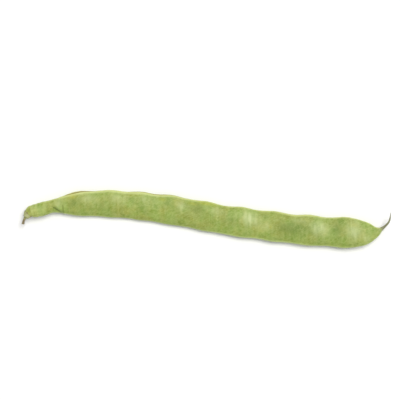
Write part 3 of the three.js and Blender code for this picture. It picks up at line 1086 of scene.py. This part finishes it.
def pod_ends(tree, place, green, dry, streaks):
    """Pale bands across the neck, and a streaked grey-brown husk on the beak."""
    neck_bands = product(tree, cross_bands(tree, place), mask(tree, "neck"))
    green = glazed(tree, green, [(PALE_GREEN, neck_bands, 0.3), (HUSK_GREY, mask(tree, "dry"), 0.9)])
    return tinted(tree, green, tinted(tree, HUSK_BROWN, HUSK_GREY, streaks), dry)

# %% Start a skin, and give it relief
def new_skin(name):
    """A material with its shader, ready for its colour, roughness and relief."""
    material = bpy.data.materials.new(name)
    material.use_nodes = True
    tree = material.node_tree
    return material, tree, tree.nodes["Principled BSDF"]


def raised(tree, shader, depth, layers):
    """Relief on the shader's normal: the sum of the masks, each times its own share of a depth in metres."""
    height = 0.0
    for where, share in layers:
        height = scaled(tree, where, by=share, plus=height)
    bump = add(tree, "ShaderNodeBump", {"Height": height, "Distance": depth, "Strength": 1.0})
    tree.links.new(bump.outputs[0], shader.inputs["Normal"])


def dress(piece, material):
    """Gives a piece its skin, and says how many nodes the skin is made of."""
    piece.data.materials.append(material)
    print(f"{piece.name} wears {material.name}, made of {len(material.node_tree.nodes)} nodes")

# %% Make the pod's skin
def make_pod_skin():
    """Satin green skin with veins, pores, pale sutures and a dry beak."""
    material, tree, shader = new_skin("pod_skin")
    place, on_skin = skin_places(tree)
    veins = vein_net(tree, on_skin, mesh_width=0.0013, mesh_length=0.006, slant=math.radians(38))
    dots = placed(tree, specks, Place=place, Spacing=0.0012, Dot_Size=0.00028, Share=0.6)
    down = placed(tree, mottling, Place=place, Patch_Size=0.0004, Fineness=0.5)
    streaks = placed(tree, fibres, Place=on_skin, Width=0.00025, Stretch=9.0)
    dry = placed(tree, dried_edge, Place=place, Amount=mask(tree, "dry"), Raggedness=0.5)
    green = pod_sutures(tree, place, pod_greens(tree, place, veins))
    green = pod_ends(tree, place, pod_marks(tree, place, green, dots), dry, streaks)
    tree.links.new(green, shader.inputs["Base Color"])

    satin = scaled(tree, down, by=0.12, plus=0.44)
    tree.links.new(scaled(tree, dry, by=0.25, plus=satin), shader.inputs["Roughness"])
    husk = product(tree, streaks, dry)
    raised(tree, shader, depth=0.00009, layers=[(down, 0.4), (veins, 0.45), (dots, 0.3), (husk, 1.5)])
    shader.inputs["Specular IOR Level"].default_value = 0.35
    shader.inputs["Sheen Weight"].default_value = 0.06
    shader.inputs["Sheen Roughness"].default_value = 0.45
    shader.inputs["Sheen Tint"].default_value = SHEEN_GREEN
    return material


dress(pod, make_pod_skin())

# %% [markdown]
# ## The calyx's skin
#
# The calyx has dried to a pale straw green. Fibres run up it to the tips of its teeth, where it has gone
# brown. It could have one flat straw colour, since it is small, but close up its fibres are what makes it
# look dry. It shares the fibres and the dried edge with the other skins, with colours and sizes of its own.

# %% Make the calyx's skin
STRAW_GREEN = colour(150, 156, 92)
STRAW_PALE = colour(182, 184, 134)
TOOTH_BROWN = colour(126, 106, 66)


def make_calyx_skin():
    """Dull straw-green husk, fibrous, brown at its edge."""
    material, tree, shader = new_skin("calyx_skin")
    place, on_skin = skin_places(tree)
    clouds = placed(tree, mottling, Place=place, Patch_Size=0.0015, Fineness=0.4)
    strands = placed(tree, fibres, Place=on_skin, Width=0.00018, Stretch=8.0)
    edge = placed(tree, dried_edge, Place=place, Amount=mask(tree, "dry"), Raggedness=0.9)
    dots = placed(tree, specks, Place=place, Spacing=0.0006, Dot_Size=0.00014, Share=0.4)
    straw = tinted(tree, STRAW_GREEN, STRAW_PALE, clouds)
    coats = [(STRAW_PALE, strands, 0.35), (TOOTH_BROWN, dots, 0.35), (TOOTH_BROWN, edge, 0.8)]
    tree.links.new(glazed(tree, straw, coats), shader.inputs["Base Color"])
    tree.links.new(scaled(tree, strands, by=0.15, plus=0.6), shader.inputs["Roughness"])
    raised(tree, shader, depth=0.00007, layers=[(clouds, 0.3), (strands, 0.8)])
    return material


dress(calyx, make_calyx_skin())

# %% [markdown]
# ## The stem's bark
#
# The stub is dried to a dull brown, greener where it joins the calyx, with dark gaps between its fibres. The
# snapped end shows pale pith inside a brown rim. The rim and the pith could be two materials, but then their
# border would follow the mesh. One bark that blends them by a mask leaves it ragged.

# %% Make the stem's bark
BARK_BROWN = colour(138, 124, 90)
BARK_DARK = colour(92, 78, 54)
BARK_GREEN = colour(160, 162, 104)
PITH_PALE = colour(200, 192, 152)


def make_stem_bark():
    """Fibrous brown bark, green at its root, with pale pith in the snapped end."""
    material, tree, shader = new_skin("stem_bark")
    place, on_skin = skin_places(tree)
    strands = placed(tree, fibres, Place=on_skin, Width=0.00014, Stretch=12.0)
    clouds = placed(tree, mottling, Place=place, Patch_Size=0.0012, Fineness=0.5)
    withered = placed(tree, dried_edge, Place=place, Amount=mask(tree, "dry"), Raggedness=0.8)
    inside = placed(tree, dried_edge, Place=place, Amount=mask(tree, "pith"), Raggedness=0.3)
    bark = tinted(tree, BARK_GREEN, BARK_BROWN, withered)
    coats = [(BARK_DARK, opposite(tree, strands), 0.7), (PITH_PALE, clouds, 0.25), (PITH_PALE, inside, 1.0)]
    tree.links.new(glazed(tree, bark, coats), shader.inputs["Base Color"])
    tree.links.new(scaled(tree, strands, by=-0.15, plus=0.85), shader.inputs["Roughness"])
    raised(tree, shader, depth=0.0001, layers=[(strands, 1.0), (clouds, 0.3)])
    return material


dress(stem, make_stem_bark())

# %% [markdown]
# ## Tie the pieces to the model
#
# Each finished piece stands for one CAD node and rides on the model's only body, because nothing on a bean
# moves.

# %% Ride and replace
FINISHES = [(pod, "pod", "pod_skin"), (calyx, "calyx", "calyx_skin"), (stem, "stem", "stem_bark")]

for piece, node, slot in FINISHES:
    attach(piece, "root")
    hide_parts(node)

# %% [markdown]
# ## Floor and light
#
# The bean lies on a plain white surface in soft, even light. Several lamps could do it, each with its own
# shadow. Here a pale world lights it from all around, and one big soft lamp from above and a little to one
# side gives its cheeks their shape and draws a single faint shadow. The surface is just below the bean, so
# that the two never share a plane.

# %% A plain pale surface
FLOOR_HALF = 6.0  # half of its side, in metres
FLOOR_DROP = 0.0001  # how far it is below the bean
FLOOR_WHITE = colour(246, 246, 246)
FLOOR_ROUGHNESS = 0.9


def make_floor():
    """One big square just under the bean."""
    corners = np.array([[-1, -1, 0], [1, -1, 0], [1, 1, 0], [-1, 1, 0]]) * FLOOR_HALF - [0, 0, FLOOR_DROP]
    mesh = bpy.data.meshes.new("surface")
    mesh.from_pydata(corners.tolist(), [], [(0, 1, 2, 3)])
    made = bpy.data.objects.new("surface", mesh)
    bpy.context.scene.collection.objects.link(made)
    material, tree, shader = new_skin("white_surface")
    shader.inputs["Base Color"].default_value = FLOOR_WHITE
    shader.inputs["Roughness"].default_value = FLOOR_ROUGHNESS
    mesh.materials.append(material)
    return made


make_floor()

# %% Soft light
AMBIENT = 0.52  # how strongly the world shines on the bean
BACKDROP = 1.03  # and how bright the camera sees it
SKY_WHITE = colour(252, 253, 255)
LAMP_STRENGTH = 2.25
LAMP_SOFTNESS = math.radians(32)  # how wide the lamp looks from the bean
LAMP_TINT = (1.0, 0.985, 0.95)
LAMP_PLACE = np.array([0.30, 0.34, 1.18])


def make_world():
    """An even pale sky, which the camera sees brighter than it shines on the bean."""
    world = bpy.data.worlds.new("pale_room")
    world.use_nodes = True
    tree = world.node_tree
    seen = add(tree, "ShaderNodeLightPath").outputs["Is Camera Ray"]
    strength = add(tree, "ShaderNodeMix", {0: seen, 2: AMBIENT, 3: BACKDROP}).outputs[0]
    tree.nodes["Background"].inputs["Color"].default_value = SKY_WHITE
    tree.links.new(strength, tree.nodes["Background"].inputs["Strength"])
    bpy.context.scene.world = world


def make_lamp():
    """A wide soft lamp whose rays are all parallel, so that it lights the whole surface evenly."""
    data = bpy.data.lights.new("soft_lamp", "SUN")
    data.angle = LAMP_SOFTNESS
    data.energy = LAMP_STRENGTH
    data.color = LAMP_TINT
    lamp = bpy.data.objects.new("soft_lamp", data)
    lamp.location = LAMP_PLACE
    lamp.rotation_euler = (-lamp.location).to_track_quat("-Z", "Y").to_euler()
    bpy.context.scene.collection.objects.link(lamp)


make_world()
make_lamp()
bpy.context.scene.view_settings.view_transform = "Standard"
print(f"the lamp looks {math.degrees(LAMP_SOFTNESS):.0f} degrees wide from the bean")

# %% [markdown]
# ## The camera
#
# The camera looks straight down, so that the whole length of the bean shows with no foreshortening. It could
# be close with a short lens, but that would swell the middle of so long a thing. So it is far away with a
# long lens, which keeps the two ends at the same scale as the middle. The lens is worked out from how wide a
# strip of the surface the picture takes in.

# %% Look straight down
PICTURE_WIDTH = 267.4 * MM
CAMERA_HEIGHT = 1.2
CAMERA_AIM = np.array([-4.1, 12.7]) * MM


def make_camera():
    """A long lens, whose focal length is the sensor's width times the distance over the picture's width."""
    data = bpy.data.cameras.new("overhead")
    subject_height = (cad_low.z + cad_high.z) / 2
    data.lens = data.sensor_width * (CAMERA_HEIGHT - subject_height) / PICTURE_WIDTH
    camera = bpy.data.objects.new("overhead", data)
    camera.location = (*CAMERA_AIM, CAMERA_HEIGHT)
    bpy.context.scene.collection.objects.link(camera)
    bpy.context.scene.camera = camera
    print(f"lens {data.lens:.0f} mm")


make_camera()
